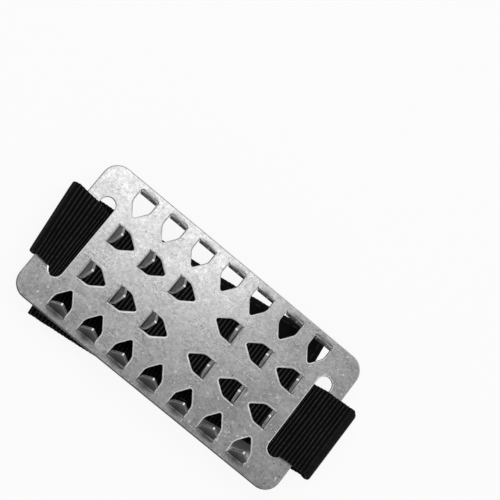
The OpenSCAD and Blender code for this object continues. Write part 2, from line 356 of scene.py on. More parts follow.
def lerp(a, b, t):
    return a + (b - a) * t


def link_object(name, data):
    obj = bpy.data.objects.new(name, data)
    bpy.context.collection.objects.link(obj)
    return obj


def mesh_object(name, bm, materials):
    """Turns a mesh in millimetres into an object in metres."""
    bmesh.ops.scale(bm, vec=(MM, MM, MM), verts=bm.verts)
    mesh = bpy.data.meshes.new(name)
    bm.to_mesh(mesh)
    bm.free()
    for material in materials:
        mesh.materials.append(material)
    return link_object(name, mesh)


class Nodes:
    """The node tree of a material or a world, built by short calls."""

    def __init__(self, owner):
        owner.use_nodes = True
        self.tree = owner.node_tree

    def fill(self, socket, value):
        """Links a socket to the one given, or sets its plain value."""
        if isinstance(value, bpy.types.NodeSocket):
            self.tree.links.new(value, socket)
        else:
            socket.default_value = value

    def add(self, kind, inputs=None, **settings):
        node = self.tree.nodes.new(kind)
        for key, value in settings.items():
            setattr(node, key, value)
        for key, value in (inputs or {}).items():
            self.fill(node.inputs[key], value)
        return node

    def ramp(self, value, *stops):
        """Maps a value to greys: each stop is (position, grey)."""
        node = self.add("ShaderNodeValToRGB", {"Fac": value})
        elements = node.color_ramp.elements
        while len(elements) < len(stops):
            elements.new(0.5)
        for element, (position, grey) in zip(elements, stops):
            element.position = position
            element.color = (grey, grey, grey, 1)
        return node.outputs["Color"]


class Surface(Nodes):
    """A material: one principled shader, and what feeds it."""

    # The mix node's colour sockets share their names with others, so they go by number
    MIX_FACTOR, MIX_A, MIX_B, MIX_RESULT = 0, 6, 7, 2

    def __init__(self, name):
        self.material = bpy.data.materials.new(name)
        super().__init__(self.material)
        self.shader = self.tree.nodes["Principled BSDF"]

    def set(self, **sockets):
        for key, value in sockets.items():
            self.fill(self.shader.inputs[key.replace("_", " ")], value)

    def place(self):
        return self.add("ShaderNodeTexCoord").outputs["Object"]

    def attribute(self, name):
        return self.add("ShaderNodeAttribute", attribute_name=name).outputs["Fac"]

    def math(self, operation, a, b):
        return self.add("ShaderNodeMath", {0: a, 1: b}, operation=operation).outputs["Value"]

    def mix(self, factor, a, b, blend="MIX"):
        """Mixes two colours, each a socket or a plain RGB."""
        a, b = (c if isinstance(c, bpy.types.NodeSocket) else (*c, 1) for c in (a, b))
        inputs = {self.MIX_FACTOR: factor, self.MIX_A: a, self.MIX_B: b}
        node = self.add("ShaderNodeMix", inputs, data_type="RGBA", blend_type=blend)
        return node.outputs[self.MIX_RESULT]

    def noise(self, scale, detail=2.0, rough=0.5, vector=None):
        """Noise with so many cells in a metre."""
        inputs = {"Vector": vector or self.place(), "Scale": scale, "Detail": detail, "Roughness": rough}
        return self.add("ShaderNodeTexNoise", inputs).outputs["Fac"]

    def stretched(self, scale, angle=0.0):
        """Object coordinates, turned about Z and scaled by axis, for marks that run one way."""
        inputs = {"Vector": self.place(), "Scale": scale, "Rotation": (0, 0, angle)}
        return self.add("ShaderNodeMapping", inputs).outputs["Vector"]

    def streaks(self, scale, angle=0.0, rough=0.5):
        """Noise that is drawn out along one way, with so many cells in a metre by axis."""
        return self.noise(1, 2, rough, self.stretched(scale, angle))

    def waves(self, scale, distortion, way):
        """Uneven bands of light and dark along one way."""
        inputs = {"Vector": self.place(), "Scale": scale, "Distortion": distortion, "Detail": 2.0}
        return self.add("ShaderNodeTexWave", inputs, bands_direction=way).outputs["Fac"]

    def bump(self, height, strength, depth):
        inputs = {"Height": height, "Strength": strength, "Distance": depth * MM}
        self.set(Normal=self.add("ShaderNodeBump", inputs).outputs["Normal"])


def zinc(name, rough, metal):
    """Dull zinc plating: cloudy patches, dark specks, pale chips that also stand in for glints, scratches two ways and
    a faint ring, with painted shade.
    """
    n = Surface(name)
    cloud = n.ramp(n.noise(90, 4, 0.6), (0.3, 0.0), (0.7, 1.0))
    fine = n.ramp(n.noise(1150, 4, 0.8), (0.33, 0.6), (0.64, 1.0))
    specks = n.ramp(n.noise(760, 1, 0.4), (0.72, 1.0), (0.78, 0.55))
    plating = n.mix(cloud, ZINC_DARK, ZINC_LIGHT)
    plating = n.mix(1.0, plating, fine, "MULTIPLY")
    plating = n.mix(1.0, plating, specks, "MULTIPLY")

    # Chips: pale, rougher wear marks that also stand in for glints
    chips = n.ramp(n.noise(900, 1, 0.4, n.stretched((1, 1, 1), 1.3)), (0.7, 0.0), (0.76, 1.0))
    scratches = n.ramp(n.streaks((60, 1900, 60), 0.72), (0.68, 0.0), (0.76, 1.0))
    rubs = n.ramp(n.streaks((2400, 90, 60), -0.5), (0.70, 0.0), (0.8, 1.0))
    ends = {0: n.place(), 1: metres(RING_PLACE)}
    reach = n.add("ShaderNodeVectorMath", ends, operation="DISTANCE").outputs["Value"]
    stops = [(radius / RING_SPAN, strength) for radius, strength in RING_STOPS]
    ring = n.ramp(n.math("DIVIDE", reach, RING_SPAN * MM), *stops)
    marks = n.math("MAXIMUM", n.math("MAXIMUM", scratches, rubs), chips)
    marks = n.math("MAXIMUM", marks, ring)
    plating = n.mix(n.math("MULTIPLY", marks, 0.4), plating, MARK_GREY)

    # Painted shade from the mesh darkens the plating towards the grey of a shaded tooth
    n.set(Base_Color=n.mix(n.attribute("tone"), plating, PAINTED_SHADE_GREY), Metallic=metal)
    roughness = n.ramp(n.noise(210, 3, 0.6), (0.3, rough - 0.05), (0.7, rough + 0.05))
    n.set(Roughness=n.math("ADD", roughness, n.math("MULTIPLY", chips, 0.3)))
    n.bump(n.math("ADD", n.noise(700, 4, 0.65), n.math("MULTIPLY", marks, -0.4)), 0.25, 0.12)
    return n.material


def sheared(name, dark, light, metal):
    """The steel of a sheared or rolled edge, with fine drag lines down it; its pale kinds carry a painted highlight.
    """
    n = Surface(name)
    lines = n.ramp(n.streaks((2600, 2600, 160)), (0.3, dark), (0.7, light))
    n.set(Base_Color=lines, Metallic=metal)
    n.set(Roughness=n.ramp(n.noise(800, 2, 0.5), (0.3, 0.26), (0.7, 0.42)))
    n.bump(lines, 0.15, 0.05)
    return n.material


def webbing(name):
    """Black woven elastic: a painted highlight on the ribs' crests, broken into ticks and lighter under the plate, a
    plain grain in its folds, slight fading.
    """
    n = Surface(name)
    # The ribs' crests get a painted highlight, broken into ticks; under the plate it is lighter
    crest_highlight = n.ramp(n.attribute("crest"), (0.92, 0.0), (0.99, 1.0))
    ticks = n.ramp(n.streaks((700, 2400, 700), rough=0.6), (0.34, 0.25), (0.62, 1.0))
    light = n.mix(n.attribute("under"), RIB_CREST_HIGHLIGHT, RIB_UNDER_PAINTED_LIGHT)
    shade = n.mix(n.math("MULTIPLY", crest_highlight, ticks), RIB_DARK, light)
    grain = n.ramp(n.noise(1500, 3, 0.8), (0.35, 0.004), (0.65, 0.017))
    shade = n.mix(n.attribute("turned"), shade, grain)
    fade = n.ramp(n.noise(160, 3, 0.6), (0.35, 0.7), (0.7, 1.0))
    n.set(Base_Color=n.mix(1.0, shade, fade, "MULTIPLY"))

    fuzz = n.noise(2600, 3, 0.7)
    yarn = n.waves(460, 2.0, "Y")
    n.set(Roughness=n.ramp(fuzz, (0.3, 0.62), (0.7, 0.85)))
    n.set(Specular_IOR_Level=0.03, Sheen_Weight=0.003)
    n.bump(n.math("ADD", yarn, n.math("MULTIPLY", fuzz, 0.7)), 0.4, 0.08)
    return n.material


def tape(name, grey, cells):
    """Black nylon tape with a grain of its own hooks or loops."""
    n = Surface(name)
    grain = n.noise(cells, 4, 0.7)
    n.set(Base_Color=n.ramp(grain, (0.3, grey * 0.5), (0.7, grey * 1.4)))
    n.set(Roughness=n.ramp(n.noise(cells * 2, 2), (0.3, 0.55), (0.7, 0.8)))
    n.set(Specular_IOR_Level=0.15, Sheen_Weight=0.02)
    n.bump(grain, 0.6, 0.1)
    return n.material


def twisted(name):
    """Black polyester thread, with the twist of its strands."""
    n = Surface(name)
    twist = n.waves(900, 0.5, "DIAGONAL")
    n.set(Base_Color=n.ramp(twist, (0.2, 0.012), (0.8, 0.04)))
    n.set(Roughness=n.ramp(n.noise(1500), (0.3, 0.38), (0.7, 0.55)))
    n.bump(twist, 0.8, 0.1)
    return n.material


ZINC_PLATING = zinc("zinc_plating", 0.28, 0.95)
# Near white and little metallic: the painted highlight of the rims and of the teeth's tips
RIM_HIGHLIGHT_STEEL = sheared("rolled_rim", 0.85, 0.98, 0.3)
TOOTH_EDGE = sheared("tooth_edge", 0.14, 0.28, 0.9)
# A painted highlight along the edges of the middle teeth
EDGE_HIGHLIGHT_STEEL = sheared("worn_edge", 0.25, 0.45, 0.9)
WEBBING = webbing("ribbed_webbing")
HOOK_NYLON = tape("hook_nylon", 0.006, 1400)
LOOP_PILE = tape("loop_pile", 0.024, 2200)
THREAD = twisted("sewing_thread")


def arc(centre, r, start, stop, steps):
    """Points of an arc in plan, with angles in degrees from +X."""
    turns = [math.radians(lerp(start, stop, i / steps)) for i in range(steps + 1)]
    return [Vector(centre) + r * Vector((math.cos(a), math.sin(a))) for a in turns]


def plate_loop():
    """The plate's outline, with the sheet on its left."""
    x, y = PLATE_L / 2 - CORNER_R, PLATE_W / 2 - CORNER_R
    corners = (((x, y), 0), ((-x, y), 90), ((-x, -y), 180), ((x, -y), 270))
    return [p for c, a in corners for p in arc(c, CORNER_R, a, a + 90, ARC_STEPS)]


def slot_loop(x):
    """A strap slot's outline, with the sheet on its left."""
    y = (SLOT_L - SLOT_W) / 2
    ends = (((x, y), 180), ((x, -y), 360))
    return [p for c, a in ends for p in arc(c, SLOT_W / 2, a, a - 180, ARC_STEPS)]


def shield(w, length):
    """Half of a punched outline, from its foot to its point, as (distance, half width)."""
    half_tip = math.atan(w / 2 / TIP_L)
    sharp = length - TIP_R + TIP_R / math.sin(half_tip)
    turn_in = sharp - TIP_L - SHOULDER_R * math.tan(half_tip / 2)
    centre = w / 2 - SHOULDER_R
    turns = [half_tip * i / SHOULDER_STEPS for i in range(SHOULDER_STEPS + 1)]
    shoulder = [(turn_in + SHOULDER_R * math.sin(a), centre + SHOULDER_R * math.cos(a)) for a in turns]
    turns = [lerp(half_tip, math.pi / 2, i / TIP_STEPS) for i in range(TIP_STEPS + 1)]
    tip = [(length - TIP_R + TIP_R * math.sin(a), TIP_R * math.cos(a)) for a in turns]
    return shoulder + tip


def tooth_places():
    """Every tooth's place, with its bend at the origin and its hole along +X, and its kind."""
    for side, kind in ((-1, FRONT_TOOTH), (1, BACK_TOOTH)):
        turn = Matrix.Rotation(-side * math.pi / 2, 4, "Z")
        for i in range(SIDE_COUNT):
            x = (i - (SIDE_COUNT - 1) / 2) * SIDE_PITCH
            yield Matrix.Translation((x, side * (PLATE_W / 2 - SIDE_EDGE), 0)) @ turn, kind
    for row in (-1, 1):
        for half in (0, math.pi):
            turn = Matrix.Rotation(half, 4, "Z")
            for i in range(MID_COUNT):
                reach = Matrix.Translation((-MID_FIRST - i * MID_PITCH - PUNCH_L, 0, 0))
                yield Matrix.Translation((0, row * MID_ROW_Y, 0)) @ turn @ reach, MID_TOOTH


def sheet_normals(loop, closed):
    """At each point of a loop, the way into the sheet, as far as a unit offset of both edges takes it."""
    edges = [b - a for a, b in zip(loop, loop[1:] + loop[:1])]
    lefts = [Vector((-e.y, e.x)).normalized() for e in edges]
    if not closed:
        lefts[-1] = lefts[-2]
    before = lefts[-1:] + lefts[:-1] if closed else lefts[:1] + lefts[:-1]
    return [(a + b) / (1 + a.dot(b)) for a, b in zip(before, lefts)]


class Plate:
    """The plate's mesh as it grows: its faces, and the loops that bound its flat sides."""

    def __init__(self):
        self.bm = bmesh.new()
        # Each point's painted shade, from 0, bare plating, to 1, a shaded tooth's grey
        self.tone = self.bm.verts.layers.float.new("tone")
        self.flat = self.bm.faces.layers.int.new("flat_side")
        self.tops = []
        self.bottoms = []

    def vert(self, point, tone=0.0):
        v = self.bm.verts.new(point)
        v[self.tone] = tone
        return v

    def strip(self, a, b, closed, material):
        """Faces between two rows of points."""
        count = len(a) if closed else len(a) - 1
        for i in range(count):
            j = (i + 1) % len(a)
            face = self.bm.faces.new((a[i], a[j], b[j], b[i]))
            face.material_index = material

    def rim(self, loop, place, width, fade, closed, material, dark=0.0, dark_rows=0):
        """The rolled top edge and the wall along a loop: returns its top row and its bottom row."""
        rows = []
        bright_rows = RIM_STEPS - dark_rows
        ways = sheet_normals(loop, closed)
        for k in range(RIM_STEPS + 1):
            a = math.pi / 2 * k / RIM_STEPS
            row = []
            for p, way, share in zip(loop, ways, fade):
                q = p + way * width * share * (1 - math.sin(a))
                z = PLATE_TOP - RIM_DROP * share * (1 - math.cos(a))
                # Painted shade: full on the dark rows and down the wall; on the plate's edge it is lighter where the
                # edge faces the back; a little more at the corners by a tooth's foot
                facing = lerp(BACK_EDGE_TONE, 1, max(way.y, 0))
                tone = 1 if k >= bright_rows else dark * facing * min(k, 1) + CORNER_TONE * (1 - share)
                row.append(self.vert(place @ Vector((q.x, q.y, z)), tone))
            rows.append(row)
        for k, (a, b) in enumerate(zip(rows, rows[1:])):
            # The bright rows take the painted highlight, the dark ones the plain plating
            self.strip(a, b, closed, material if k < bright_rows else PLAIN)
            if not closed:
                self.plain_ends(b)
        rows.append([self.vert(place @ Vector((p.x, p.y, PLATE_LOW.z)), 1) for p in loop])
        self.strip(rows[-2], rows[-1], closed, PLAIN)
        return rows[0], rows[-1]

    def plain_ends(self, row):
        """Gives the first and last faces along a row, at the foot of a tooth, the plain plating."""
        for i in (*range(FOOT_FACES), *range(-1 - FOOT_FACES, -1)):
            self.bm.edges.get((row[i], row[i + 1])).link_faces[-1].material_index = PLAIN

    def outline(self, loop, width, material, dark=0.0, dark_rows=0):
        top, bottom = self.rim(loop, Matrix(), width, [1] * len(loop), True, material, dark, dark_rows)
        self.tops.append(top)
        self.bottoms.append(bottom)

    def punched(self, place, kind):
        """One hole with its rim, and its tooth."""
        half = HOLE_W / 2
        side = [(0, half), (FOOT_BLEND / 2, half), (FOOT_BLEND, half)] + shield(HOLE_W, PUNCH_L)
        loop = [Vector(p) for p in side] + [Vector((u, -v)) for u, v in reversed(side[:-1])]
        fade = [smooth(min(p.x, FOOT_BLEND) / FOOT_BLEND) for p in loop]
        top, bottom = self.rim(loop, place, kind.rim_w, fade, False, HIGHLIGHT, 0.0, kind.dark_rows)
        self.tops.append(top + self.foot(place, kind))
        self.bottoms.append(bottom + [self.vert(place @ Vector((0, 0, PLATE_LOW.z)))])
        self.tooth(place, kind)

    def foot(self, place, kind):
        """Painted shade on the flat sheet behind a tooth's bend, in the outline of a scoop: returns its back row."""
        half = HOLE_W / 2
        back = []
        for i in range(2 * SCOOP_STEPS + 1):
            t = i / SCOOP_STEPS - 1
            x = -FOOT_BLEND - kind.scoop * (1 - t * t)
            back.append(self.vert(place @ Vector((x, half * t, PLATE_TOP))))
        # Painted shade at the middle of the foot, lighter at its corners; the back row has none
        tones = (-half, CORNER_TONE), (0, kind.foot_tone), (half, CORNER_TONE)
        front = [self.vert(place @ Vector((0, y, PLATE_TOP)), tone) for y, tone in tones]
        quarter = SCOOP_STEPS // 2
        for i in range(2 * SCOOP_STEPS):
            self.bm.faces.new((back[i], back[i + 1], front[(i + quarter) // SCOOP_STEPS]))
        for i in (0, 1):
            self.bm.faces.new((front[i], front[i + 1], back[quarter + SCOOP_STEPS * i]))
        return back

    def tooth(self, place, kind):
        """The tooth: closed sections along its bend, its straight sides and its tapered point."""
        stations = []
        bend = math.pi / 2 - TOOTH_LEAN
        straight = PUNCH_L - (BEND_R + PLATE_T / 2) * bend
        for i in range(BEND_STEPS + 1):
            s = i / BEND_STEPS
            half = lerp(HOLE_W / 2, TOOTH_W / 2, smooth(2 * s))
            # Painted shade darkens along the bend to a face's full grey, in the middle from the foot's shade and at
            # the sides from the corners' lighter shade
            middle = lerp(kind.foot_tone, 1, smooth(s / kind.full_tone))
            tones = middle, lerp(CORNER_TONE, 1, smooth(s / CORNER_BEND))
            stations.append((bend * s, 0, half, TOOTH_BEVEL * smooth(2 * s), tones))
        for u, half in shield(TOOTH_W, straight):
            half = max(half, TIP_HALF)
            stations.append((bend, u, half, min(TOOTH_BEVEL, half / 2), (1, 1)))
        rings = []
        for a, along, h, b, tones in stations:
            ring = []
            section = ((b - h, 0), (0, 0), (h - b, 0), (h, b), (h, PLATE_T - b),
                       (h - b, PLATE_T), (0, PLATE_T), (b - h, PLATE_T), (-h, PLATE_T - b), (-h, b))
            for y, depth in section:
                r = BEND_R + depth
                x = r * math.sin(a) + along * math.cos(bend)
                z = PLATE_TOP + BEND_R - r * math.cos(a) + along * math.sin(bend)
                outer = tones[0] if y == 0 else tones[1]
                # The outer face has full painted shade
                ring.append(self.vert(place @ Vector((x, y, z)), 1 if depth > PLATE_T / 2 else outer))
            rings.append(ring)
        tip = len(rings) - TIP_RINGS
        for k, (a, b) in enumerate(zip(rings, rings[1:])):
            # A tooth's edges and tip take its kind's materials, some of them painted highlights
            edge = kind.edge if k < tip else kind.tip
            for i in range(len(a)):
                j = (i + 1) % len(a)
                face = self.bm.faces.new((a[i], a[j], b[j], b[i]))
                face.material_index = PLAIN if i in FACE_SIDES else edge
        self.bm.faces.new(rings[-1]).material_index = kind.tip

    def side(self, loops, up):
        """Fills a flat side of the plate between its loops."""
        edges = []
        for loop in loops:
            for a, b in zip(loop, loop[1:] + loop[:1]):
                edges.append(self.bm.edges.get((a, b)) or self.bm.edges.new((a, b)))
        made = bmesh.ops.triangle_fill(self.bm, use_beauty=True, edges=edges, normal=(0, 0, up))
        for face in made["geom"]:
            if isinstance(face, bmesh.types.BMFace):
                face[self.flat] = 1

    def finish(self):
        """Closes the mesh, and keeps the flat sides' shading apart from the rims'."""
        bm = self.bm
        self.side(self.tops, 1)
        self.side(self.bottoms, -1)
        bmesh.ops.remove_doubles(bm, verts=bm.verts, dist=MERGE_GAP)
        bmesh.ops.recalc_face_normals(bm, faces=bm.faces)
        for face in bm.faces:
            face.smooth = True
        for edge in bm.edges:
            kinds = {face[self.flat] for face in edge.link_faces}
            edge.smooth = len(kinds) == 1 and edge.calc_face_angle(0) < SMOOTH_LIMIT
        return bm


def build_plate():
    """The plate with its slots, its holes and their teeth."""
    plate = Plate()
    plate.outline(plate_loop(), EDGE_RIM_W, PLAIN, EDGE_TONE)
    for x in (SLOT_X, -SLOT_X):
        plate.outline(slot_loop(x), SLOT_RIM_W, HIGHLIGHT, 0.0, DARK_ROWS)
    for place, kind in tooth_places():
        plate.punched(place, kind)
    materials = [ZINC_PLATING, RIM_HIGHLIGHT_STEEL, TOOTH_EDGE, EDGE_HIGHLIGHT_STEEL]
    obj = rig.slot(mesh_object("punched_plate", plate.finish(), materials), "zinc_steel")
    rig.replaces(obj, "cleat_plate")
    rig.ride(obj, "plate")


class Fold:
    """One end of the strap: how it leaves the slot, turns over and runs on as a tail."""

    def __init__(self, name, side, low, tuck, bare):
        # Two turning lines, 30 and 90 degrees from the fold's top, lie half its radius apart in plan
        upper, middle = joint_point(f"{name}_unfold"), joint_point(f"{name}_unfold_side")
        out = Vector((middle.x - upper.x, middle.y - upper.y))
        self.side = side
        self.tuck = tuck
        self.bare = bare
        self.r = 2 * out.length
        self.axis_turn = math.atan2(side * out.y, side * out.x)
        self.centre = Vector((middle.x, middle.y)) - 2 * out
        self.mid_z = middle.z
        self.flat = OVER_TOP - low - 2 * self.r
        self.tail_z = low + STRAP_T / 2
        self.mid_r = self.r - STRAP_T / 2

    def set_tail(self, turn, length, bow, sway):
        """The tail's turn in plan, its length, its bow to the front and its end's sway to the back."""
        self.length = length
        self.bow = bow
        self.sway = sway
        self.skew = turn - self.axis_turn
        self.way = Vector((math.cos(turn), math.sin(turn)))
        self.across = Vector((-self.way.y, self.way.x))

    def edge(self, out, v):
        """A point in plan, at a distance outward from the fold's middle and a share of half the width."""
        y = self.side * out * math.tan(self.skew) + v * STRAP_W / 2 / math.cos(self.skew)
        c, s = math.cos(self.axis_turn), math.sin(self.axis_turn)
        return self.centre + Vector((self.side * out * c - y * s, self.side * out * s + y * c))

    def tail(self, d, v, half=STRAP_W / 2):
        """A point in plan on the tail, at a distance from its fold and a share of half the width."""
        skew = 1 - smooth(d / SKEW_L)
        along = -self.side * d + skew * v * half * math.tan(self.skew)
        t = d / self.length
        back = self.sway * t ** 4 - self.bow * BOW_PEAK * t * t * (1 - t)
        return self.centre + self.way * along + self.across * (v * half + back)

    def line_at(self, angle):
        """A point of the fold's middle surface, at an angle from its top."""
        up = self.mid_r * math.cos(angle) + math.copysign(self.flat / 2, math.cos(angle))
        p = self.edge(self.mid_r * math.sin(angle), 0)
        return Vector((p.x, p.y, self.mid_z + up))


RIGHT = Fold("right", 1, RIGHT_LOW, RIGHT_TUCK, RIGHT_BARE)
bend_axis = JOINTS["right_tail_bend"]["axis"]
RIGHT.set_tail(math.atan2(bend_axis[0], -bend_axis[1]), RIGHT_L, TAIL_BOW, RIGHT_SWAY)
LEFT = Fold("left", -1, LEFT_LOW, LEFT_TUCK, LEFT_BARE)
LEFT.set_tail(LEFT.axis_turn, LEFT_L, 0.0, LEFT_SWAY)


class Station:
    """A line across the strap: its ends on the middle surface, and the way out of its outer face.

    turned is its share of a fold, and under is 1 where it lies under the plate, where the ribs' painted highlight is
    lighter.
    """

    def __init__(self, front, back, z, normal, turned=0.0, under=0.0):
        self.front = Vector((front.x, front.y, z))
        self.back = Vector((back.x, back.y, z))
        self.normal = normal
        self.turned = turned
        self.under = under
        self.middle = (self.front + self.back) / 2
        self.s = 0.0

    def point(self, v):
        """A point of the line, at a share of half the width."""
        return self.front.lerp(self.back, (v + 1) / 2)


def slot_front(x):
    """Where the strap's front edge lies when it swells to fill the round end of its slot."""
    off = min(abs(x - SLOT_X), SLOT_W / 2)
    round_end = SLOT_W / 2 - math.sqrt(SLOT_W * SLOT_W / 4 - off * off)
    return SLOT_PLAY + round_end - SLOT_L / 2


def run_stations(fold, step):
    """From the plate's middle, through the slot, to the top of the fold."""
    slot_in = SLOT_X - SLOT_W / 2
    ends = [fold.edge(0, v) for v in (-1, 1)]
    starts = [Vector((fold.side * slot_in, STRAP_Y + v * STRAP_W / 2)) for v in (-1, 1)]
    reach = abs((ends[0].x + ends[1].x) / 2)
    for i in range(int(reach / step) + 1):
        x = i * step
        q = max(0, (x - slot_in) / (reach - slot_in))
        s = clamp((x - slot_in) / SLOT_W)
        z = lerp(RUN_MID, OVER_MID, (1 - math.cos(math.pi * s)) / 2)
        slope = (OVER_MID - RUN_MID) * math.pi / 2 / SLOT_W * math.sin(math.pi * s)
        points = [lerp(a, b, q) if q else Vector((fold.side * x, a.y)) for a, b in zip(starts, ends)]
        points[0].y = min(points[0].y, slot_front(x))
        yield Station(*points, z, Vector((-fold.side * slope, 0, 1)).normalized(), under=1 - s)


def fold_stations(fold, step):
    """Round the fold, from its top to the start of the tail, with each station's angle from the top."""
    c, s = math.cos(fold.axis_turn) * fold.side, math.sin(fold.axis_turn) * fold.side
    half = fold.mid_r * math.pi / 2
    length = 2 * half + fold.flat
    for i in range(1, int(length / step) + 1):
        d = i * step
        angle = min(d, half) / fold.mid_r + max(d - half - fold.flat, 0) / fold.mid_r
        upright = min(max(d - half, 0), fold.flat)
        out = fold.mid_r * math.sin(angle)
        z = fold.mid_z + fold.mid_r * math.cos(angle) + fold.flat / 2 - upright
        normal = Vector((c * math.sin(angle), s * math.sin(angle), math.cos(angle)))
        turned = fold.bare * smooth(2 * math.sin(angle))
        tuck = smooth(2 * math.sin(angle) - 1)
        ends = fold.edge(out, -1 + fold.tuck[0] * tuck), fold.edge(out, 1 - fold.tuck[1] * tuck)
        yield angle, Station(*ends, z, normal, turned)


def tail_stations(fold, start, stop, step, z, half=STRAP_W / 2):
    """Along the tail, between two distances from its fold."""
    count = max(1, round((stop - start) / step))
    for i in range(count + 1):
        d = lerp(start, stop, i / count)
        yield Station(fold.tail(d, -1, half), fold.tail(d, 1, half), z, Vector((0, 0, -1)))


def measured(stations):
    """Gives each station its distance along the strap."""
    for last, station in zip(stations, stations[1:]):
        station.s = last.s + (station.middle - last.middle).length
    return stations


def rib(s):
    """How far a rib's rounded back is below its crest, at a distance along the strap."""
    x = 2 * ((s / RIB_PITCH) % 1) - 1
    return RIB_DEPTH * (1 - math.sqrt(max(0, 1 - x * x)))


def thinning(v):
    """How much of its thickness the webbing keeps, at a share of half its width."""
    return EDGE_THIN.get(abs(v), 1)


def ribbed(station, v, _side):
    """Half the strap's thickness, with its ribs, which are the same on both sides."""
    wave = RIB_WAVE * noise.noise(station.point(v) / RIB_WAVE_SIZE)
    return (STRAP_T / 2 - rib(station.s + wave) * (1 - RIB_LOSS * station.turned)) * thinning(v)


def ribbon(stations, laterals, half_thick):
    """A closed band along stations: half_thick gives its two sides' distance from the middle surface."""
    bm = bmesh.new()
    crest = bm.verts.layers.float.new("crest")
    turned = bm.verts.layers.float.new("turned")
    under = bm.verts.layers.float.new("under")
    rings = []
    for station in stations:
        across = station.back - station.front
        sway = EDGE_WAVE * noise.noise(Vector((station.s / EDGE_WAVE_SIZE, EDGE_WAVE_ROW, 0)))
        sway += RIB_DEPTH / 2 - rib(station.s)
        grow = 1 + sway / across.length
        ring = []
        for side, row in ((1, laterals), (-1, reversed(laterals))):
            for v in row:
                thick = half_thick(station, v, side)
                p = station.middle + across * (v * grow / 2)
                vert = bm.verts.new(p + station.normal * (side * thick))
                # crest is 1 on a rib's crest, where the webbing paints its highlight
                vert[crest] = 1 - (STRAP_T / 2 * thinning(v) - thick) / RIB_DEPTH
                vert[turned] = station.turned
                vert[under] = station.under
                ring.append(vert)
        rings.append(ring)
    for a, b in zip(rings, rings[1:]):
        for i in range(len(a)):
            j = (i + 1) % len(a)
            bm.faces.new((a[i], a[j], b[j], b[i])).smooth = True
    for ring in (rings[0], rings[-1]):
        for i in range(len(laterals) - 1):
            bm.faces.new((ring[i], ring[i + 1], ring[-2 - i], ring[-1 - i]))
    bmesh.ops.recalc_face_normals(bm, faces=bm.faces)
    return bm


def strap_lengths(fold):
    """The stations of one end of the strap, as its run, the three lengths of its fold and its tail."""
    step = RIB_PITCH / RIB_STEPS
    run = list(run_stations(fold, step))
    turns = list(fold_stations(fold, step))
    tail = list(tail_stations(fold, step, fold.length, step, fold.tail_z))
    measured(run + [station for angle, station in turns] + tail)
    lengths = [run]
    for low, high in zip(FOLD_CUTS, FOLD_CUTS[1:]):
        between = [station for angle, station in turns if math.radians(low) < angle <= math.radians(high)]
        lengths.append(lengths[-1][-1:] + between)
    lengths.append(lengths[-1][-1:] + tail)
    return lengths


def strap_piece(name, stations, *nodes):
    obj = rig.slot(mesh_object(name, ribbon(stations, LATERALS, ribbed), [WEBBING]), "webbing")
    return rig.replaces(obj, *nodes) if nodes else obj


def build_strap():
    """The strap, cut half way between its turning lines, so that each length bends over one of them."""
    right, left = strap_lengths(RIGHT), strap_lengths(LEFT)
    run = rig.ride(strap_piece("strap_run", left[0][:0:-1] + right[0], "strap_centre"), "plate")
    turns = []
    for name, fold, lengths in (("right", RIGHT, right), ("left", LEFT, left)):
        upper, lower = f"{name}_fold_upper", f"{name}_fold_lower"
        bodies = ("plate", upper, lower, f"{name}_tail")
        for k, (part, nodes) in enumerate((("upper", [upper]), ("side", [lower]), ("lower", []))):
            obj = strap_piece(f"strap_{name}_{part}", lengths[k + 1], *nodes)
            start, end = FOLD_CUTS[k] + CUT_MARGIN, FOLD_CUTS[k + 1] - CUT_MARGIN
            bend(obj, fold, bodies[k], bodies[k + 1], start, end)
            turns.append(obj)
    right_tail = bend_tail(strap_piece("strap_right_tail", right[-1], "right_tail_root", "right_tail_end"))
    left_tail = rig.ride(strap_piece("strap_left_tail", left[-1], "left_tail"), "left_tail")
    return run, turns, right_tail, left_tail


def bend(obj, fold, a, b, start, end):
    """Bends a length of the strap over one turning line of its fold, between two angles."""
    points = [metres(fold.line_at(math.radians(angle))) for angle in (start, end)]
    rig.blend(obj, a, b, start=points[0], end=points[1])


def bend_tail(obj):
    """Bends a piece with the right tail, just past the tail's own bend line."""
    ends = [RIGHT.tail(d, 0) for d in (RIGHT_BEND, RIGHT_BEND + BEND_REACH)]
    points = [metres((p.x, p.y, RIGHT_LOW)) for p in ends]
    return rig.blend(obj, "right_tail", "right_tail_end", start=points[0], end=points[1])


def tape_band(fold, start, stop, z, step, cell, half_thick):
    """A sewn tape's band along a tail, in cells of about one size."""
    count = round(2 * TAPE_HALF / cell)
    laterals = [2 * i / count - 1 for i in range(count + 1)]
    stations = measured(list(tail_stations(fold, start, stop, step, z, TAPE_HALF)))
    return ribbon(stations, laterals, half_thick)


def pile(station, v, side):
    """Half the loop tape's thickness: plain where it is sewn on, and an uneven pile below."""
    if side < 0:
        return TAPE_T / 2
    p = station.point(v) / PILE_SIZE
    depth = PILE_MEAN + PILE_COARSE * noise.noise(p) + PILE_FINE * noise.noise(p * PILE_FINER)
    return TAPE_T / 2 - PILE_DEPTH * clamp(depth)


def build_loop_tape():
    """The loop tape under the right tail, with a soft uneven pile on its lower face."""
    z = RIGHT_LOW - TAPE_T / 2
    bm = tape_band(RIGHT, LOOP_START, LOOP_END, z, PILE_CELL, PILE_CELL, pile)
    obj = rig.slot(mesh_object("loop_tape", bm, [LOOP_PILE]), "loop_tape")
    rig.replaces(obj, "loop_tape_root", "loop_tape_end")
    return bend_tail(obj)


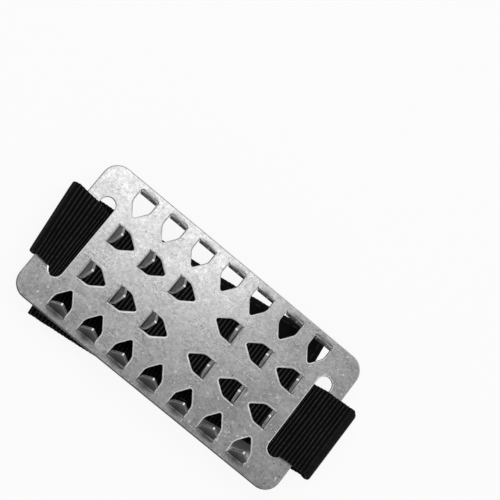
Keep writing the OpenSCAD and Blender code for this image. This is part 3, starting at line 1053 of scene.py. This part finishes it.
def tube(bm, points, r, sides):
    """A closed tube along points."""
    rings = []
    for i, p in enumerate(points):
        along = (points[min(i + 1, len(points) - 1)] - points[max(i - 1, 0)]).normalized()
        across = along.orthogonal().normalized()
        up = along.cross(across)
        turns = [2 * math.pi * k / sides for k in range(sides)]
        rings.append([bm.verts.new(p + r * (across * math.cos(a) + up * math.sin(a))) for a in turns])
    for a, b in zip(rings, rings[1:]):
        best = min(range(sides), key=lambda k: (b[k].co - a[0].co).length)
        for i in range(sides):
            j = (i + 1) % sides
            face = bm.faces.new((a[i], a[j], b[(j + best) % sides], b[(i + best) % sides]))
            face.smooth = True
    bm.faces.new(rings[0])
    bm.faces.new(rings[-1])


def build_hook_tape():
    """The hook tape on the left tail: a woven base with rows of small bent hooks."""
    top = LEFT_LOW + STRAP_T + HOOK_BASE
    bm = tape_band(LEFT, HOOK_START, HOOK_END, top - HOOK_BASE / 2, BASE_STEP, BASE_CELL,
                   lambda station, v, side: HOOK_BASE / 2)
    tall = TAPE_T - HOOK_BASE - HOOK_R
    heights = (0, tall, tall + HOOK_CROWN, tall - HOOK_DROP)
    rows = int((HOOK_L - 2 * HOOK_BORDER) / HOOK_PITCH)
    lines = int((2 * TAPE_HALF - 2 * HOOK_BORDER) / HOOK_PITCH)
    for i in range(rows + 1):
        for k in range(lines + 1):
            d = HOOK_START + HOOK_BORDER + i * HOOK_PITCH
            y = (k - lines / 2) * HOOK_PITCH
            foot = LEFT.tail(d, y / TAPE_HALF, TAPE_HALF)
            reach = LEFT.way * (HOOK_REACH if (i + k) % 2 else -HOOK_REACH)
            points = []
            for share, height in zip(HOOK_ROUTE, heights):
                p = foot + reach * share
                points.append(Vector((p.x, p.y, top - HOOK_SINK + height)))
            tube(bm, points, HOOK_R, HOOK_SIDES)
    bmesh.ops.recalc_face_normals(bm, faces=bm.faces)
    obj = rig.slot(mesh_object("hook_tape_sewn", bm, [HOOK_NYLON]), "hook_tape")
    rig.replaces(obj, "hook_tape")
    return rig.ride(obj, "left_tail")


def stitch_lines(start, stop):
    """The stitches round a sewn tape, as (distance, sideways place, runs along the tape)."""
    reach = stop - start - 2 * STITCH_INSET
    across = 2 * TAPE_HALF - 2 * STITCH_INSET
    middle = (start + stop) / 2
    count = int((reach - STITCH_L) / STITCH_PITCH)
    for side in (-1, 1):
        for i in range(count + 1):
            yield middle + (i - count / 2) * STITCH_PITCH, side * across / 2, True
    count = int((across - STITCH_L) / STITCH_PITCH)
    for end in (-1, 1):
        for i in range(count + 1):
            yield middle + end * reach / 2, (i - count / 2) * STITCH_PITCH, False


def build_thread(name, fold, start, stop, z, nodes):
    """Lock stitches: each rises out of the cloth, lies along it and dips in again."""
    bm = bmesh.new()
    for d, y, along in stitch_lines(start, stop):
        points = []
        for t in STITCH_SHARES:
            reach = t * STITCH_L / 2
            place = (d + reach, y) if along else (d, y + reach)
            p = fold.tail(place[0], place[1] / TAPE_HALF, TAPE_HALF)
            dip = STITCH_DIP * THREAD_R * smooth((abs(t) - STITCH_FLAT) / (1 - STITCH_FLAT))
            points.append(Vector((p.x, p.y, z - dip)))
        tube(bm, points, THREAD_R, THREAD_SIDES)
    bmesh.ops.recalc_face_normals(bm, faces=bm.faces)
    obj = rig.slot(mesh_object(name, bm, [THREAD]), "thread")
    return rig.replaces(obj, *nodes)


build_plate()
strap_run, strap_turns, right_tail, left_tail = build_strap()
loop_tape = build_loop_tape()
hook_tape = build_hook_tape()
loop_thread = bend_tail(build_thread(
    "loop_thread", RIGHT, LOOP_START, LOOP_END, RIGHT_LOW + STRAP_T - LOOP_SEAT,
    ("loop_stitches_root", "loop_stitches_end")))
hook_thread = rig.ride(build_thread(
    "hook_thread", LEFT, HOOK_START, HOOK_END, LEFT_LOW + STRAP_T + HOOK_BASE + HOOK_RISE,
    ("hook_stitches",)), "left_tail")

# The strap's lengths, laid out flat
RUN_FLAT = 2 * (PLATE_L / 2 + RUN_EXTRA)
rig.sheet(strap_run, flat=(STRAP_W * MM, RUN_FLAT * MM), held="stretched", rests_on=["punched_plate"],
         with_pieces=strap_turns)
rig.sheet(right_tail, flat=(STRAP_W * MM, RIGHT_L * MM), held="folded", rests_on=["loop_tape"],
         with_pieces=[loop_tape, loop_thread])
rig.sheet(left_tail, flat=(STRAP_W * MM, LEFT_L * MM), held="folded", rests_on=["strap_right_tail"],
         with_pieces=[hook_tape, hook_thread])


def build_floor():
    """A pale floor that shows white to the camera and to reflections, keeps the object's shadow, and has a painted
    shadow under the plate's front edge.
    """
    n = Surface("floor_pale")
    shade = {"Vector": n.place(), "Location": metres(SHADE_PLACE), "Scale": metres(SHADE_SIZE)}
    reach = n.add("ShaderNodeMapping", shade, vector_type="TEXTURE").outputs["Vector"]
    reach = n.add("ShaderNodeVectorMath", {0: reach}, operation="LENGTH").outputs["Value"]
    n.set(Base_Color=n.ramp(reach, (SHADE_CORE, SHADE_GREY), (1.0, FLOOR_GREY)))
    n.set(Roughness=1.0, Specular_IOR_Level=0.0)
    path = n.add("ShaderNodeLightPath").outputs
    seen = n.math("MAXIMUM", path["Is Camera Ray"], path["Is Glossy Ray"])
    seen = n.math("MAXIMUM", seen, path["Is Transmission Ray"])
    share = n.math("MULTIPLY", seen, n.ramp(reach, (SHADE_CORE, 0.0), (1.0, FLOOR_WHITE)))
    white = n.add("ShaderNodeEmission", {"Strength": 1.0})
    mixed = n.add("ShaderNodeMixShader", {0: share, 1: n.shader.outputs[0], 2: white.outputs[0]})
    n.fill(n.tree.nodes["Material Output"].inputs["Surface"], mixed.outputs[0])
    bm = bmesh.new()
    bmesh.ops.create_grid(bm, x_segments=1, y_segments=1, size=FLOOR_HALF)
    obj = mesh_object("floor", bm, [n.material])
    obj.location.z = -FLOOR_DROP * MM
    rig.stage(obj)


def build_world():
    """A light tent: bright all round, and darker nearly straight above, where its opening is."""
    world = bpy.data.worlds.new("studio")
    bpy.context.scene.world = world
    n = Nodes(world)
    way = n.add("ShaderNodeTexCoord").outputs["Generated"]
    tilted = n.add("ShaderNodeMapping", {"Vector": way, "Rotation": TENT_TILT}).outputs["Vector"]
    height = n.add("ShaderNodeSeparateXYZ", {"Vector": tilted}).outputs["Z"]
    background = n.tree.nodes["Background"]
    n.fill(background.inputs["Color"], n.ramp(height, *TENT))
    n.fill(background.inputs["Strength"], 1.0)


def area_light(name, place, aim, size, power):
    """A rectangular lamp at a place, turned to its aim."""
    data = bpy.data.lights.new(name, "AREA")
    data.shape = "RECTANGLE"
    data.size, data.size_y = metres(size)
    data.energy = power
    obj = link_object(name, data)
    obj.location = metres(place)
    obj.rotation_euler = (Vector(aim) - Vector(place)).to_track_quat("-Z", "Y").to_euler()


def build_camera():
    """The photograph's camera."""
    data = bpy.data.cameras.new("camera")
    data.sensor_width = SENSOR
    data.lens = FOCAL_PIXELS * SENSOR / IMAGE_PIXELS
    data.clip_start = CLIP_START * MM
    back = (CAMERA_PLACE - CAMERA_AIM).normalized()
    right = CAMERA_UP.cross(back).normalized()
    up = back.cross(right)
    turn = Matrix((right, up, back)).transposed().to_4x4()
    obj = link_object("camera", data)
    obj.matrix_world = Matrix.Translation(metres(CAMERA_PLACE)) @ turn
    bpy.context.scene.camera = obj


build_floor()
build_world()
area_light("key", *KEY_LAMP)
area_light("back", *BACK_LAMP)
build_camera()
bpy.context.scene.view_settings.view_transform = "Standard"

with open("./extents.json", "w") as f:
    json.dump({"cad": [list(p) for p in cad_box], "visual": [list(p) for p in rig.bounds()]}, f)
